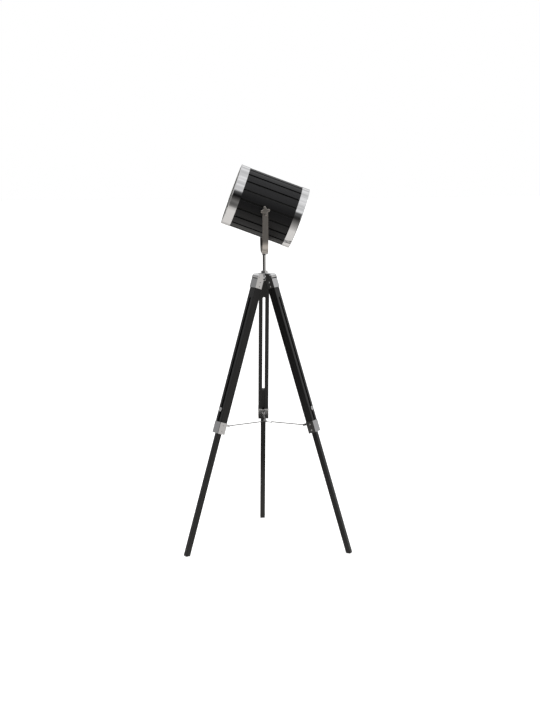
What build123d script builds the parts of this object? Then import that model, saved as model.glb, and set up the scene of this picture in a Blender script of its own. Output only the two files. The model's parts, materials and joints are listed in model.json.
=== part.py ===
from build123d import *
import os
from math import cos, radians, sin, sqrt, tan

# Tripod floor lamp: a ribbed drum head in a yoke, on three telescoping wooden legs.
#
# All sizes are in millimetres. Every piece is modelled about the tripod's own vertical axis, with
# the floor at Z = 0, one leg behind (+Y) and two in front. The drum's mouth looks towards -X. As it
# is written, each piece moves from the tripod's axis to the row's frame, whose origin is the middle
# of the footprint.

# ---------------------------------------------------------------- driving sizes: the stand
HUB_TOP = 1028.0  # flat top of the hub above the floor
LEG_LEAN = 17.66  # between each leg and the vertical, in degrees
LEG_AZIMUTHS = {"rear": 90.0, "left": 210.0, "right": 330.0}

PIN_RADIUS = 31.0  # leg hinge bolt, out from the tripod's axis
PIN_COVER = 1.0  # top of the hub above the arms' round ends
PIN_OFFSET = 7.3  # leg hinge bolt, outside the leg's own centreline
PIN_R = 3.0
KNUCKLE_R = 9.0  # rounded ends round the hinge bolt
BOSS_R = 20.0
BOSS_BELOW = 1.0  # boss below the arms' round ends
HUB_EDGE = 0.6
HINGE_HEAD_R = 5.5
HINGE_NUT_ACROSS = 10.0
HINGE_HEAD_HEIGHT = 3.0
HINGE_TAIL = 2.5  # bolt past the leg cap's side face

UPPER_WIDTH = 38.0  # along the hinge bolt
UPPER_DEPTH = 28.0
UPPER_LENGTH = 587.5
SLOT_WIDTH = 10.5
SLOT_START = 71.0  # solid wood above the slot
EDGE_ROUND = 1.5

LOWER_WIDTH = 19.0
LOWER_DEPTH = 18.0
OVERLAP = 121.0  # lower leg held inside the upper leg
PAD_THICKNESS = 4.0
PAD_INSET = 0.5
PAD_CHAMFER = 0.5

THUMB_DROP = 34.0  # thumb screw below the lower leg's top end
THUMB_R = 8.0
THUMB_HEIGHT = 5.0
THUMB_BOLT_R = 2.9
THUMB_BOLT_DEPTH = 16.0  # from the knob's face into the wood
THUMB_ROUND = 1.2

CAP_LENGTH = 34.0
CAP_SETBACK = 2.5  # cap's side plates stop short of the inner face of the leg
FERRULE_LENGTH = 43.0
METAL_SHEET = 1.5  # leg caps and brackets
FERRULE_SHEET = 1.2
SCREW_HEAD_R = 2.7
SCREW_HEAD_HEIGHT = 1.3
SCREW_SHANK_R = 1.5
SCREW_SHANK_LENGTH = 5.0
CAP_SCREW_SPACING = 16.0
CAP_SCREW_DROP = 18.7  # middle of the two screws, below the top of the wood
FERRULE_SCREW_SPACING = 22.0

BRACKET_REACH = 19.4  # spreader pin, in from the ferrule's inner face
BRACKET_DROP = 7.7  # spreader pin, below the ferrule's top edge
BRACKET_EAR_R = 4.0
BRACKET_BASE = 15.0
SPREADER_PIN_R = 1.5
RIVET_HEAD_R = 2.4
RIVET_HEAD_HEIGHT = 1.0
SPREADER_ROD_R = 1.75
EYE_THICKNESS = 3.6
EYE_OVERLAP = 1.0  # rod runs into its eye
STRAP_OVERLAP = 2.0  # rod runs into its flattened end
STRAP_THICKNESS = 1.6  # flattened inner end of each spreader rod
STRAP_WIDTH = 6.0
STRAP_LENGTH = 28.0
STRAP_PITCH = 2.0  # one flattened end above the next
STRAP_END_R = 4.5
BUTTON_R = 6.0
BUTTON_HEIGHT = 3.0
BUTTON_ROUND = 1.8

# ---------------------------------------------------------------- driving sizes: stem and yoke
COLLAR_R = 12.5
COLLAR_HEIGHT = 9.0
COLLAR_ROUND = 1.5
STEM_R = 6.0
STEM_RISE = 67.0  # from the hub's top to the underside of the yoke nut
STEM_TAIL = 2.0  # below the nut under the hub
STEM_CHAMFER = 1.0
STEM_TAP_DEPTH = 22.0  # threaded hole for the pan bolt
STEM_NUT_ACROSS = 15.0
STEM_NUT_HEIGHT = 6.0
YOKE_NUT_ACROSS = 15.5
YOKE_NUT_HEIGHT = 8.0
YOKE_NUT_CHAMFER = 0.8
PAN_BOLT_R = 4.0
PAN_HEAD_R = 8.0
PAN_HEAD_HEIGHT = 5.0
PAN_HEAD_ROUND = 1.5
PAN_SOCKET_ACROSS = 5.0
PAN_BOLT_GRIP = 17.0  # bolt inside the stem

YOKE_WIDTH = 21.0
YOKE_THICKNESS = 3.0
YOKE_DEPTH = 159.0  # from the yoke's underside to the drum's pivot
YOKE_BEND_R = 50.0  # inside the bend
YOKE_GAP = 3.2  # between the drum's rings and each arm

PIVOT_R = 4.0
SPACER_R = 8.0
PIVOT_NUT_ACROSS = 13.0
PIVOT_NUT_HEIGHT = 6.0
PIVOT_TAIL = 1.0  # bolt past its nut
WASHER_R = 10.0
WASHER_THICKNESS = 1.0
KNOB_HUB_R = 9.5
KNOB_LOBE_R = 5.2
KNOB_REACH = 17.2  # from the pivot to the tip of a lobe
KNOB_THICKNESS = 8.0
KNOB_CAP = 2.5  # closed end over the pivot bolt
KNOB_TURN = 10.0
KNOB_LOBES = 4
KNOB_ROUND = 1.5

# ---------------------------------------------------------------- driving sizes: the drum
DRUM_TILT = 20.6  # mouth above the horizontal, in degrees
DRUM_LENGTH = 265.0
DRUM_RISE = 13.0  # drum's axis above its pivot
SLAT_OUTER_R = 112.5
SLAT_THICKNESS = 4.4
SLAT_COUNT = 20
SLAT_GROOVE = 6.5
SLAT_PHASE = -1.5  # first groove from the front pivot's side, in degrees
SLAT_ROUND = 1.0
SHELL_SHEET = 0.8
RING_SHEET = 1.2
FRONT_RING_LENGTH = 33.0
REAR_RING_LENGTH = 28.0
RING_LIP = 9.0
RING_BEAD_R = 1.3
BACK_PLATE = 1.5
VENT_COUNT = 12
VENT_CIRCLE_R = 74.0
VENT_LENGTH = 26.0
VENT_WIDTH = 6.0
GROMMET_R = 6.0
GROMMET_BORE_R = 3.2
GROMMET_FLANGE = 1.5  # wider than its hole, on the radius
GROMMET_INNER_LIP = 1.5
GROMMET_OUTER_LIP = 1.2
GROMMET_OFFSET = 42.0
HOLDER_R = 19.0
HOLDER_LENGTH = 46.0
HOLDER_FLOOR = 9.0
HOLDER_ROUND = 1.5
HOLDER_RING_START = 20.7  # shade ring, from the holder's back
HOLDER_RING_PROUD = 3.0
HOLDER_RING_WIDTH = 3.0
NIPPLE_R = 5.0
NIPPLE_NUT_ACROSS = 15.0
NIPPLE_NUT_HEIGHT = 3.0
NIPPLE_TAIL = 1.0  # past its nut
BULB_CAP_R = 13.2
BULB_CAP_LENGTH = 25.0
BULB_CAP_SHEET = 0.8
BULB_CAP_BASE = 1.0
CONTACT_LENGTH = 8.0  # stem and contact behind the cap
BULB_R = 30.0
BULB_LENGTH = 82.0  # glass alone
BULB_GLASS = 1.2
BULB_NECK_DEPTH = 4.0  # glass neck inside the cap

# ---------------------------------------------------------------- clearances
RUNNING = 0.05  # on the radius, round a pin or a bolt
SLIDING = 0.3  # each side of a lower leg in its grooves
SEAT = 0.1  # sheet metal on wood
SIDE_PLAY = 0.3  # between pieces that turn against each other
THROUGH = 60.0  # a cut longer than anything it passes through
TIP_ROOM = 1.0  # between a bolt's tip and the bottom of its hole

# ---------------------------------------------------------------- places worked out from them
LEAN = radians(LEG_LEAN)
PIN_DROP = KNUCKLE_R + PIN_COVER  # leg hinge bolt, below the top of the hub
PIN_HEIGHT = HUB_TOP - PIN_DROP
BOSS_HEIGHT = PIN_DROP + KNUCKLE_R + BOSS_BELOW
CENTRE_HEIGHT = PIN_HEIGHT - PIN_OFFSET * sin(LEAN)  # leg's centreline, beside the hinge bolt
CENTRE_RADIUS = PIN_RADIUS - PIN_OFFSET * cos(LEAN)
FOOT_RADIUS = CENTRE_RADIUS + CENTRE_HEIGHT * tan(LEAN)
FLOOR_DROP = CENTRE_HEIGHT / cos(LEAN)  # from the hinge bolt down to the floor, along the leg
UPPER_START = KNUCKLE_R + METAL_SHEET  # end grain of the upper leg, below the hinge bolt
UPPER_END = UPPER_START + UPPER_LENGTH
LOWER_START = UPPER_END - OVERLAP
FERRULE_END = UPPER_END + FERRULE_SHEET
FERRULE_START = FERRULE_END - FERRULE_LENGTH
FERRULE_SKIN = UPPER_DEPTH / 2 + SEAT + FERRULE_SHEET  # ferrule's inner face, from the centreline
BRACKET_PIVOT_IN = FERRULE_SKIN + BRACKET_REACH
BRACKET_PIVOT_DROP = FERRULE_START + BRACKET_DROP
SPREADER_RADIUS = CENTRE_RADIUS + BRACKET_PIVOT_DROP * sin(LEAN) - BRACKET_PIVOT_IN * cos(LEAN)
SPREADER_HEIGHT = CENTRE_HEIGHT - BRACKET_PIVOT_DROP * cos(LEAN) - BRACKET_PIVOT_IN * sin(LEAN)
CAP_SKIN = UPPER_WIDTH / 2 + SEAT + METAL_SHEET  # cap's outer side face, from the centreline
HUB_ARM_HALF = UPPER_WIDTH / 2 + SEAT - SIDE_PLAY

YOKE_BOTTOM = HUB_TOP + STEM_RISE + YOKE_NUT_HEIGHT + RUNNING
PIVOT_HEIGHT = YOKE_BOTTOM + YOKE_DEPTH
SLAT_INNER_R = SLAT_OUTER_R - SLAT_THICKNESS
SHELL_OUTER_R = SLAT_INNER_R - RUNNING
SHELL_INNER_R = SHELL_OUTER_R - SHELL_SHEET
RING_INNER_R = SLAT_OUTER_R + SEAT
RING_OUTER_R = RING_INNER_R + RING_SHEET
MOUTH = DRUM_LENGTH / 2  # along the drum's axis from its middle
BACK = -DRUM_LENGTH / 2
SLAT_BACK = BACK + RING_SHEET + BACK_PLATE
ARM_INNER = RING_OUTER_R + YOKE_GAP
ARM_OUTER = ARM_INNER + YOKE_THICKNESS
KNOB_FACE = ARM_OUTER + RUNNING + WASHER_THICKNESS + SIDE_PLAY
PIVOT_NUT_CORNER = DRUM_RISE + PIVOT_NUT_ACROSS / 2 / cos(radians(30))  # its furthest from the drum's axis
PIVOT_NUT_SEAT = sqrt(SHELL_INNER_R**2 - PIVOT_NUT_CORNER**2) - RUNNING  # clear of the shell's curve
PIVOT_NUT_FACE = PIVOT_NUT_SEAT - PIVOT_NUT_HEIGHT

# The row's origin is under the middle of the footprint, so the tripod's axis stands off it.
PAD_HALF = LOWER_DEPTH / 2 - PAD_INSET
REAR_REACH = FOOT_RADIUS + LOWER_DEPTH / 2 / cos(LEAN) - PAD_THICKNESS * tan(LEAN)
FRONT_TURN = radians(LEG_AZIMUTHS["left"] - 180)  # front legs, from the line across the stand
FRONT_REACH = REAR_REACH * sin(FRONT_TURN) + LOWER_WIDTH / 2 * cos(FRONT_TURN)
STAND_Y = (FRONT_REACH - REAR_REACH) / 2


# ---------------------------------------------------------------- planes and shared steps
def outward(azimuth):
    """The level direction from the tripod's axis towards a leg."""
    return Vector(cos(radians(azimuth)), sin(radians(azimuth)), 0)


def across_leg(azimuth, drop):
    """Plane across a leg: x outwards, y along the hinge bolt, z up the leg, this far below the bolt."""
    out = outward(azimuth)
    up_leg = Vector(0, 0, cos(LEAN)) - out * sin(LEAN)
    face = out * cos(LEAN) + Vector(0, 0, sin(LEAN))
    origin = out * CENTRE_RADIUS + Vector(0, 0, CENTRE_HEIGHT) - up_leg * drop
    return Plane(origin=origin, x_dir=face, z_dir=up_leg)


def side_of_leg(azimuth, drop):
    """Plane along a leg through its middle: x outwards, y up the leg."""
    plane = across_leg(azimuth, drop)
    return Plane(origin=plane.origin, x_dir=plane.x_dir, z_dir=-plane.y_dir)


def face_of_leg(azimuth, drop):
    """Plane on a leg's centreline that looks outwards: x along the hinge bolt, y up the leg."""
    plane = across_leg(azimuth, drop)
    return Plane(origin=plane.origin, x_dir=plane.y_dir, z_dir=plane.x_dir)


def hinge_plane(azimuth):
    """Upright plane through a leg's hinge bolt: x outwards, y up."""
    out = outward(azimuth)
    origin = out * PIN_RADIUS + Vector(0, 0, PIN_HEIGHT)
    return Plane(origin=origin, x_dir=out, z_dir=out.cross(Vector(0, 0, 1)))


def across_drum(along):
    """Plane across the drum this far from its middle: x up, z towards the mouth."""
    tilt = radians(DRUM_TILT)
    mouth = Vector(-cos(tilt), 0, sin(tilt))
    up = Vector(sin(tilt), 0, cos(tilt))
    origin = Vector(0, 0, PIVOT_HEIGHT) + up * DRUM_RISE + mouth * along
    return Plane(origin=origin, x_dir=up, z_dir=mouth)


def pivot_plane(side, distance):
    """Plane across the drum's pivot, looking out through one yoke arm: side is -1 in front, 1 behind."""
    origin = Vector(0, side * distance, PIVOT_HEIGHT)
    return Plane(origin=origin, x_dir=(side, 0, 0), z_dir=(0, side, 0))


def disc(plane, radius, amount, bore=0.0):
    """Add a round plate or a tube to the part being built."""
    with BuildSketch(plane) as section:
        Circle(radius)
        if bore:
            Circle(bore, mode=Mode.SUBTRACT)
    extrude(section.sketch, amount=amount)


def drill(plane, radius, amount, both=False):
    """Cut a round hole in the part being built."""
    with BuildSketch(plane) as section:
        Circle(radius)
    extrude(section.sketch, amount=amount, both=both, mode=Mode.SUBTRACT)


def save(piece, name):
    """Label a finished piece, move it to the row's frame and write it."""
    part = piece.part.moved(Location((0, STAND_Y, 0)))
    part.label = name
    export_step(part, f"parts/{name}.step")


# ---------------------------------------------------------------- hub and stem
def make_hub():
    """Cast hub: a boss with three broad arms that the leg caps straddle."""
    with BuildPart() as hub:
        disc(Plane.XY.offset(HUB_TOP - BOSS_HEIGHT), BOSS_R, BOSS_HEIGHT)
        for azimuth in LEG_AZIMUTHS.values():
            with BuildSketch(hinge_plane(azimuth)):
                Circle(KNUCKLE_R)
                with Locations((-PIN_RADIUS / 2, 0)):
                    Rectangle(PIN_RADIUS, 2 * KNUCKLE_R)
            extrude(amount=HUB_ARM_HALF, both=True)
        for azimuth in LEG_AZIMUTHS.values():
            drill(hinge_plane(azimuth), PIN_R + RUNNING, THROUGH, both=True)
        drill(Plane.XY.offset(HUB_TOP), STEM_R + RUNNING, BOSS_HEIGHT, both=True)
        top = hub.faces().filter_by(Axis.Z).sort_by(Axis.Z)[-1]
        fillet(top.edges().sort_by(Edge.length)[-1], HUB_EDGE)
    return hub


def make_collar():
    """Turned collar round the foot of the stem."""
    with BuildPart() as collar:
        disc(Plane.XY.offset(HUB_TOP), COLLAR_R, COLLAR_HEIGHT, bore=STEM_R + RUNNING)
        rims = collar.edges().filter_by(GeomType.CIRCLE).group_by(Edge.length)[-1]
        fillet(rims, COLLAR_ROUND)
    return collar


def make_stem():
    """Upright rod from below the hub to the yoke nut."""
    foot = HUB_TOP - BOSS_HEIGHT - STEM_NUT_HEIGHT - STEM_TAIL
    top = HUB_TOP + STEM_RISE
    with BuildPart() as stem:
        disc(Plane.XY.offset(foot), STEM_R, top - foot)
        drill(Plane.XY.offset(top), PAN_BOLT_R + RUNNING, -STEM_TAP_DEPTH)
        chamfer(stem.edges().sort_by(Axis.Z)[0], STEM_CHAMFER)
    return stem


def make_stem_nut():
    """Hexagon nut that holds the stem under the hub."""
    with BuildPart() as nut:
        with BuildSketch(Plane.XY.offset(HUB_TOP - BOSS_HEIGHT)):
            RegularPolygon(STEM_NUT_ACROSS / 2, 6, major_radius=False)
            Circle(STEM_R + RUNNING, mode=Mode.SUBTRACT)
        extrude(amount=-STEM_NUT_HEIGHT)
    return nut


def make_yoke_nut():
    """Hexagon nut on top of the stem, which the yoke stands on."""
    with BuildPart() as nut:
        with BuildSketch(Plane.XY.offset(HUB_TOP + STEM_RISE)):
            RegularPolygon(YOKE_NUT_ACROSS / 2, 6, major_radius=False)
            Circle(PAN_BOLT_R + RUNNING, mode=Mode.SUBTRACT)
        extrude(amount=YOKE_NUT_HEIGHT)
        chamfer(nut.edges().filter_by(Axis.Z), YOKE_NUT_CHAMFER)
    return nut


def make_pan_bolt():
    """Bolt down through the yoke, the nut and the top of the stem."""
    head_seat = YOKE_BOTTOM + YOKE_THICKNESS + RUNNING
    with BuildPart() as bolt:
        disc(Plane.XY.offset(head_seat), PAN_HEAD_R, PAN_HEAD_HEIGHT)
        fillet(bolt.edges().sort_by(Axis.Z)[-1], PAN_HEAD_ROUND)
        shank = YOKE_THICKNESS + YOKE_NUT_HEIGHT + PAN_BOLT_GRIP
        disc(Plane.XY.offset(head_seat), PAN_BOLT_R, -shank)
        with BuildSketch(Plane.XY.offset(head_seat + PAN_HEAD_HEIGHT)):
            RegularPolygon(PAN_SOCKET_ACROSS / 2, 6, major_radius=False)
        extrude(amount=-PAN_HEAD_HEIGHT / 2, mode=Mode.SUBTRACT)
    return bolt


# ---------------------------------------------------------------- legs
def screw_planes(azimuth, middle, spacing, skin):
    """Planes on both side faces of a leg, two screws apart along it, looking out of the leg."""
    planes = []
    for side in (-1, 1):
        for step in (-0.5, 0.5):
            base = across_leg(azimuth, middle + step * spacing)
            origin = base.origin + base.y_dir * (side * skin)
            planes.append(Plane(origin=origin, x_dir=base.x_dir, z_dir=base.y_dir * side))
    return planes


def cap_screws_at(azimuth):
    """Where a leg cap's four screws sit."""
    middle = UPPER_START + CAP_SCREW_DROP
    return screw_planes(azimuth, middle, CAP_SCREW_SPACING, CAP_SKIN)


def ferrule_screws_at(azimuth):
    """Where a ferrule's four screws sit."""
    skin = UPPER_WIDTH / 2 + SEAT + FERRULE_SHEET
    middle = FERRULE_START + FERRULE_LENGTH / 2
    return screw_planes(azimuth, middle, FERRULE_SCREW_SPACING, skin)


def make_leg_cap(azimuth):
    """Folded cap over the top of a leg: an outer plate, and side plates whose ears take the bolt."""
    plate_in = -UPPER_DEPTH / 2 + CAP_SETBACK
    plate_out = UPPER_DEPTH / 2 + SEAT + METAL_SHEET
    bottom = -UPPER_START - CAP_LENGTH
    with BuildPart() as cap:
        with BuildSketch(side_of_leg(azimuth, 0)):
            with BuildLine():
                Polyline(
                    (plate_in, bottom),
                    (plate_out, bottom),
                    (plate_out, -UPPER_START),
                    (PIN_OFFSET + KNUCKLE_R, 0),
                    (PIN_OFFSET - KNUCKLE_R, 0),
                    (plate_in, -UPPER_START),
                    close=True,
                )
            make_face()
            with Locations((PIN_OFFSET, 0)):
                Circle(KNUCKLE_R)
        extrude(amount=CAP_SKIN, both=True)
        with BuildSketch(side_of_leg(azimuth, 0)):
            with Locations((0, bottom / 2)):
                Rectangle(UPPER_DEPTH + 2 * SEAT, -bottom)
            with Locations((PIN_OFFSET, 0)):
                Circle(KNUCKLE_R + METAL_SHEET)
            with Locations((0, -UPPER_START / 2)):
                Rectangle(4 * UPPER_DEPTH, UPPER_START)
        extrude(amount=CAP_SKIN - METAL_SHEET, both=True, mode=Mode.SUBTRACT)
        pin = side_of_leg(azimuth, 0)
        bolt_hole = Plane(origin=pin.origin + pin.x_dir * PIN_OFFSET, x_dir=pin.x_dir, z_dir=pin.z_dir)
        drill(bolt_hole, PIN_R + RUNNING, THROUGH, both=True)
        for plane in cap_screws_at(azimuth):
            drill(plane, SCREW_SHANK_R + RUNNING, -METAL_SHEET - SEAT)
    return cap


def make_hinge_bolt(azimuth):
    """Bolt through a leg cap's ears and the hub's arm, with a domed head and a nut."""
    plane = hinge_plane(azimuth)
    with BuildPart() as bolt:
        with BuildSketch(plane):
            Circle(PIN_R)
        extrude(amount=CAP_SKIN + HINGE_TAIL, both=True)
        for side in (-1, 1):
            seat = Plane(
                origin=plane.origin + plane.z_dir * (side * (CAP_SKIN + RUNNING)),
                x_dir=plane.x_dir,
                z_dir=plane.z_dir * side,
            )
            with BuildSketch(seat):
                if side == 1:
                    Circle(HINGE_HEAD_R)
                else:
                    RegularPolygon(HINGE_NUT_ACROSS / 2, 6, major_radius=False)
            extrude(amount=HINGE_HEAD_HEIGHT)
    return bolt


def make_upper_leg(azimuth):
    """Wooden upper leg: solid at the top, then two grooved rails with a slot between them."""
    top = across_leg(azimuth, UPPER_START)
    channel = UPPER_LENGTH - SLOT_START
    with BuildPart() as leg:
        with BuildSketch(top):
            Rectangle(UPPER_DEPTH, UPPER_WIDTH)
        extrude(amount=-UPPER_LENGTH)
        long_edges = leg.edges().filter_by(Axis(top.origin, top.z_dir))
        fillet(long_edges, EDGE_ROUND)
        with BuildSketch(face_of_leg(azimuth, UPPER_END)):
            with Locations((0, (channel - SLOT_WIDTH / 2) / 2)):
                Rectangle(SLOT_WIDTH, channel - SLOT_WIDTH / 2)
            with Locations((0, channel - SLOT_WIDTH / 2)):
                Circle(SLOT_WIDTH / 2)
        extrude(amount=THROUGH, both=True, mode=Mode.SUBTRACT)
        with BuildSketch(across_leg(azimuth, UPPER_END)):
            Rectangle(LOWER_DEPTH + 2 * SLIDING, LOWER_WIDTH + 2 * SLIDING)
        extrude(amount=channel - SLOT_WIDTH / 2, mode=Mode.SUBTRACT)
        for plane in cap_screws_at(azimuth):
            drill(plane, SCREW_SHANK_R + RUNNING, -METAL_SHEET - SCREW_SHANK_LENGTH - SEAT)
        for plane in ferrule_screws_at(azimuth):
            drill(plane, SCREW_SHANK_R + RUNNING, -FERRULE_SHEET - SCREW_SHANK_LENGTH - SEAT)
    return leg


def make_ferrule(azimuth):
    """Box sleeve over the foot of an upper leg, with a floor that the lower leg passes through."""
    start = across_leg(azimuth, FERRULE_START)
    with BuildPart() as ferrule:
        with BuildSketch(start):
            Rectangle(2 * FERRULE_SKIN, UPPER_WIDTH + 2 * (SEAT + FERRULE_SHEET))
        extrude(amount=-FERRULE_LENGTH)
        fillet(ferrule.edges().filter_by(Axis(start.origin, start.z_dir)), EDGE_ROUND)
        with BuildSketch(start):
            RectangleRounded(UPPER_DEPTH + 2 * SEAT, UPPER_WIDTH + 2 * SEAT, EDGE_ROUND)
        extrude(amount=-(FERRULE_LENGTH - FERRULE_SHEET), mode=Mode.SUBTRACT)
        with BuildSketch(start):
            Rectangle(LOWER_DEPTH + 3 * SLIDING, LOWER_WIDTH + 3 * SLIDING)
        extrude(amount=-FERRULE_LENGTH, mode=Mode.SUBTRACT)
        for plane in ferrule_screws_at(azimuth):
            drill(plane, SCREW_SHANK_R + RUNNING, -FERRULE_SHEET - SEAT)
    return ferrule


def make_screws(planes):
    """Small domed wood screws, one on each plane."""
    with BuildPart() as screws:
        for plane in planes:
            disc(plane, SCREW_HEAD_R, SCREW_HEAD_HEIGHT)
            disc(plane, SCREW_SHANK_R, -SCREW_SHANK_LENGTH)
    return screws


def spreader_pin_plane(azimuth):
    """Plane through a spreader pin, along the leg: x outwards, y up the leg."""
    middle = side_of_leg(azimuth, BRACKET_PIVOT_DROP)
    origin = middle.origin - middle.x_dir * BRACKET_PIVOT_IN
    return Plane(origin=origin, x_dir=middle.x_dir, z_dir=middle.z_dir)


def make_spreader_bracket(azimuth):
    """Bracket on a ferrule's inner face: a base plate with two ears for the spreader pin."""
    plane = spreader_pin_plane(azimuth)
    ear_in = EYE_THICKNESS / 2 + SIDE_PLAY
    ear_out = ear_in + METAL_SHEET
    with BuildPart() as bracket:
        with BuildSketch(plane):
            Circle(BRACKET_EAR_R)
            with Locations((BRACKET_REACH / 2, 0)):
                Rectangle(BRACKET_REACH, 2 * BRACKET_EAR_R)
        extrude(amount=ear_out, both=True)
        with BuildSketch(plane):
            with Locations(((BRACKET_REACH - METAL_SHEET) / 2 - BRACKET_EAR_R, 0)):
                Rectangle(BRACKET_REACH - METAL_SHEET + 2 * BRACKET_EAR_R, 3 * BRACKET_EAR_R)
        extrude(amount=ear_in, both=True, mode=Mode.SUBTRACT)
        with BuildSketch(plane):
            with Locations((BRACKET_REACH - METAL_SHEET / 2, 0)):
                Rectangle(METAL_SHEET, BRACKET_BASE)
        extrude(amount=BRACKET_BASE / 2, both=True)
        drill(plane, SPREADER_PIN_R + RUNNING, THROUGH, both=True)
    return bracket


def make_spreader_pin(azimuth):
    """Rivet through a bracket's ears and a spreader rod's eye."""
    plane = spreader_pin_plane(azimuth)
    half = EYE_THICKNESS / 2 + SIDE_PLAY + METAL_SHEET
    with BuildPart() as pin:
        with BuildSketch(plane):
            Circle(SPREADER_PIN_R)
        extrude(amount=half + RIVET_HEAD_HEIGHT, both=True)
        for side in (-1, 1):
            seat = Plane(
                origin=plane.origin + plane.z_dir * (side * (half + RUNNING)),
                x_dir=plane.x_dir,
                z_dir=plane.z_dir * side,
            )
            disc(seat, RIVET_HEAD_R, RIVET_HEAD_HEIGHT)
    return pin


def make_lower_leg(azimuth):
    """Square lower leg, cut level above its pad, with a threaded hole for the thumb screw."""
    with BuildPart() as leg:
        top = across_leg(azimuth, LOWER_START)
        with BuildSketch(top):
            Rectangle(LOWER_DEPTH, LOWER_WIDTH)
        extrude(amount=-(FLOOR_DROP - LOWER_START + THROUGH))
        fillet(leg.edges().filter_by(Axis(top.origin, top.z_dir)), EDGE_ROUND)
        split(bisect_by=Plane.XY.offset(PAD_THICKNESS), keep=Keep.TOP)
        hole = face_of_leg(azimuth, LOWER_START + THUMB_DROP)
        entry = UPPER_DEPTH / 2 + SIDE_PLAY
        mouth = Plane(origin=hole.origin + hole.z_dir * entry, x_dir=hole.x_dir, z_dir=hole.z_dir)
        drill(mouth, THUMB_BOLT_R + RUNNING, -THUMB_BOLT_DEPTH - TIP_ROOM)
    return leg


def make_foot_pad(azimuth):
    """Rubber pad under a lower leg, flat on the floor."""
    radius = FOOT_RADIUS - PAD_THICKNESS * tan(LEAN)
    out = outward(azimuth)
    floor = Plane(origin=out * radius, x_dir=out, z_dir=(0, 0, 1))
    with BuildPart() as pad:
        with BuildSketch(floor):
            RectangleRounded(2 * PAD_HALF, LOWER_WIDTH - 2 * PAD_INSET, EDGE_ROUND)
        extrude(amount=PAD_THICKNESS)
        chamfer(pad.faces().sort_by(Axis.Z)[0].edges(), PAD_CHAMFER)
    return pad


def make_thumb_screw(azimuth):
    """Round lock knob on a leg's outer face, with its bolt through the slot into the lower leg."""
    hole = face_of_leg(azimuth, LOWER_START + THUMB_DROP)
    seat_out = UPPER_DEPTH / 2 + SIDE_PLAY
    seat = Plane(origin=hole.origin + hole.z_dir * seat_out, x_dir=hole.x_dir, z_dir=hole.z_dir)
    with BuildPart() as screw:
        disc(seat, THUMB_R, THUMB_HEIGHT)
        fillet(screw.edges().group_by(Axis(seat.origin, seat.z_dir))[-1], THUMB_ROUND)
        disc(seat, THUMB_BOLT_R, -THUMB_BOLT_DEPTH)
    return screw


def make_spreader_arm(azimuth, level):
    """Spreader rod from its eye on the bracket to a flattened end on the tripod's axis."""
    out = outward(azimuth)
    along = Vector(0, 0, 1).cross(out)
    pin = out * SPREADER_RADIUS + Vector(0, 0, SPREADER_HEIGHT)
    upright = Plane(origin=pin, x_dir=-out, z_dir=along)
    with BuildPart() as arm:
        with BuildSketch(upright):
            Circle(BRACKET_EAR_R)
        extrude(amount=EYE_THICKNESS / 2, both=True)
        drill(upright, SPREADER_PIN_R + RUNNING, THROUGH, both=True)
        rod_start = BRACKET_EAR_R - EYE_OVERLAP
        rod_plane = Plane(origin=pin - out * rod_start, x_dir=along, z_dir=-out)
        disc(rod_plane, SPREADER_ROD_R, SPREADER_RADIUS - rod_start - STRAP_LENGTH + STRAP_OVERLAP)
        centre = SPREADER_HEIGHT + level * STRAP_PITCH
        flat = Plane(origin=(0, 0, centre), x_dir=out, z_dir=(0, 0, 1))
        with BuildSketch(flat):
            Circle(STRAP_END_R)
            with Locations((STRAP_LENGTH / 2, 0)):
                Rectangle(STRAP_LENGTH, STRAP_WIDTH)
        extrude(amount=STRAP_THICKNESS / 2, both=True)
    return arm


def make_spreader_button():
    """Domed button riveted on the topmost of the three flattened ends."""
    seat = SPREADER_HEIGHT + STRAP_PITCH + STRAP_THICKNESS / 2
    with BuildPart() as button:
        disc(Plane.XY.offset(seat), BUTTON_R, BUTTON_HEIGHT)
        fillet(button.edges().sort_by(Axis.Z)[-1], BUTTON_ROUND)
    return button


# ---------------------------------------------------------------- yoke and knobs
def make_yoke():
    """Flat bar bent into a U, with round ends at the drum's pivot."""
    with BuildPart() as yoke:
        with BuildSketch(Plane.YZ):
            with Locations((0, YOKE_BOTTOM + YOKE_DEPTH / 2)):
                Rectangle(2 * ARM_OUTER, YOKE_DEPTH)
        extrude(amount=YOKE_WIDTH / 2, both=True)
        low = yoke.edges().filter_by(Axis.X).group_by(Axis.Z)[0]
        fillet(low, YOKE_BEND_R + YOKE_THICKNESS)
        with BuildSketch(Plane.YZ) as inside:
            with Locations((0, YOKE_BOTTOM + YOKE_THICKNESS + YOKE_DEPTH / 2)):
                Rectangle(2 * ARM_INNER, YOKE_DEPTH)
            fillet(inside.vertices().group_by(Axis.Y)[0], YOKE_BEND_R)
        extrude(amount=YOKE_WIDTH / 2, both=True, mode=Mode.SUBTRACT)
        for side in (-1, 1):
            disc(pivot_plane(side, ARM_INNER), YOKE_WIDTH / 2, YOKE_THICKNESS)
        for side in (-1, 1):
            drill(pivot_plane(side, ARM_INNER), PIVOT_R + RUNNING, YOKE_THICKNESS)
        drill(Plane.XY.offset(YOKE_BOTTOM), PAN_BOLT_R + RUNNING, YOKE_THICKNESS)
    return yoke


def make_pivot_bolts():
    """Pivot bolts, one through each side of the drum, each with a spacer up to the yoke arm."""
    inner = PIVOT_NUT_FACE - PIVOT_TAIL
    outer = KNOB_FACE + KNOB_THICKNESS - KNOB_CAP - TIP_ROOM
    spacer = SLAT_OUTER_R + SEAT
    with BuildPart() as bolts:
        for side in (-1, 1):
            disc(pivot_plane(side, inner), PIVOT_R, outer - inner)
            disc(pivot_plane(side, spacer), SPACER_R, ARM_INNER - RUNNING - spacer)
    return bolts


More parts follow.
